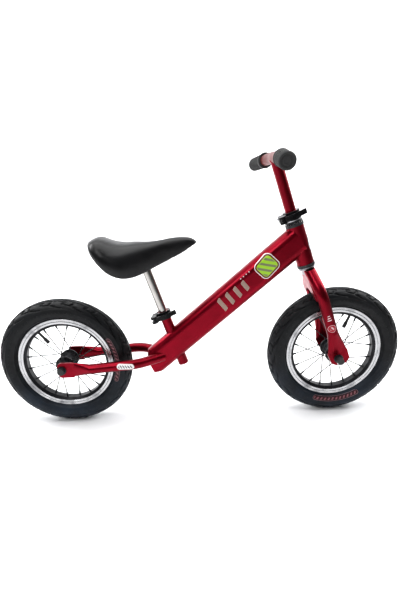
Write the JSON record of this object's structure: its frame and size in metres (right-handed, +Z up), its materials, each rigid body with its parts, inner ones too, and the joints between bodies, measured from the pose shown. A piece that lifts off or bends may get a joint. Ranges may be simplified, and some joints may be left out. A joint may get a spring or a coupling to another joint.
{
  "type": "balance bike",
  "caption": "Child's balance bike: oblique red box-tube frame, air tyres on spoked wheels, turning fork, bowed handlebar with rubber grips and a padded saddle on a sliding post.",
  "frame": {"origin": "on the ground midway between the two wheel axles, in the bike's mid-plane", "axes": "+X towards the front wheel, +Y to the rider's left, +Z up"},
  "size_m": [0.9118, 0.3548, 0.5757],
  "materials": {
    "frame_paint": "deep candy red, satin",
    "bar_paint": "duller brick red, satin",
    "bare_steel": "bare turned steel",
    "chrome": "polished",
    "black_steel": "black, semi-gloss",
    "clamp_alloy": "black anodised",
    "spacer_alloy": "bare, turned",
    "badge": "stamped plate, satin",
    "rim_alloy": "machined flank",
    "tyre": "matt black rubber",
    "tube_rubber": "matt black",
    "grip_rubber": "ribbed matt black",
    "black_plastic": "moulded, fine grain",
    "saddle_cover": "smooth black synthetic leather over foam"
  },
  "bodies": {
    "frame": {"main_tube": "frame_paint", "tail_plate": "frame_paint", "head_tube": "frame_paint", "seat_tube": "frame_paint", "chainstay_left": "frame_paint", "chainstay_right": "frame_paint", "headset_lower_cup": "black_steel", "headset_upper_cup": "black_steel", "headset_lower_balls": "chrome", "headset_upper_balls": "chrome", "head_badge": "badge", "seat_clamp_collar": "clamp_alloy", "seat_clamp_skewer": "clamp_alloy", "rear_axle": "bare_steel", "rear_cones": "bare_steel", "rear_nuts": "black_steel", "rear_axle_caps": "black_plastic"},
    "seat_lever": {"seat_clamp_lever": "clamp_alloy"},
    "saddle": {"seat_post": "chrome", "seat_bracket": "black_steel", "saddle_base": "black_plastic", "saddle_cushion": "saddle_cover", "saddle_bolts": "black_steel"},
    "rear_wheel": {"rear_tyre": "tyre", "rear_inner_tube": "tube_rubber", "rear_valve_cap": "black_plastic", "rear_rim": "rim_alloy", "rear_rim_tape": "tube_rubber", "rear_spokes": "black_steel", "rear_nipples": "black_steel", "rear_hub_shell": "black_steel", "rear_hub_balls": "chrome"},
    "fork": {"fork_steerer": "bare_steel", "fork_leg_left": "frame_paint", "fork_leg_right": "frame_paint", "fork_crown_web": "frame_paint", "crown_race": "bare_steel", "headset_cover": "black_steel", "headset_spacer": "spacer_alloy", "bar_clamp_collar": "clamp_alloy", "bar_clamp_skewer": "clamp_alloy", "front_axle": "bare_steel", "front_cones": "bare_steel", "front_nuts": "black_steel", "front_axle_caps": "black_plastic"},
    "front_wheel": {"front_tyre": "tyre", "front_inner_tube": "tube_rubber", "front_valve_cap": "black_plastic", "front_rim": "rim_alloy", "front_rim_tape": "tube_rubber", "front_spokes": "black_steel", "front_nipples": "black_steel", "front_hub_shell": "black_steel", "front_hub_balls": "chrome"},
    "handlebar": {"handlebar_post": "frame_paint", "handlebar_bar": "bar_paint", "grip_left": "grip_rubber", "grip_right": "grip_rubber"},
    "bar_lever": {"bar_clamp_lever": "clamp_alloy"}
  },
  "joints": [
    {"name": "steering", "type": "hinge", "parent": "frame", "child": "fork", "pos_m": [0.30364, 0, 0.14919], "axis": [-0.3256, 0, 0.9455], "continuous": true},
    {"name": "front_wheel_spin", "type": "hinge", "parent": "fork", "child": "front_wheel", "pos_m": [0.306, 0, 0.15], "axis": [0, 1, 0], "continuous": true},
    {"name": "rear_wheel_spin", "type": "hinge", "parent": "frame", "child": "rear_wheel", "pos_m": [-0.306, 0, 0.15], "axis": [0, 1, 0], "continuous": true},
    {"name": "saddle_height", "type": "slide", "parent": "frame", "child": "saddle", "axis": [-0.2924, 0, 0.9563], "range_m": [-0.035, 0.035]},
    {"name": "handlebar_height", "type": "slide", "parent": "fork", "child": "handlebar", "axis": [-0.3256, 0, 0.9455], "range_m": [-0.026, 0.03]},
    {"name": "seat_lever_swing", "type": "hinge", "parent": "frame", "child": "seat_lever", "pos_m": [-0.09543, -0.018, 0.24855], "axis": [0.2924, 0, -0.9563], "range_deg": [0, 150]},
    {"name": "bar_lever_swing", "type": "hinge", "parent": "fork", "child": "bar_lever", "pos_m": [0.17739, -0.018, 0.44733], "axis": [0.3256, 0, -0.9455], "range_deg": [0, 150]}
  ]
}
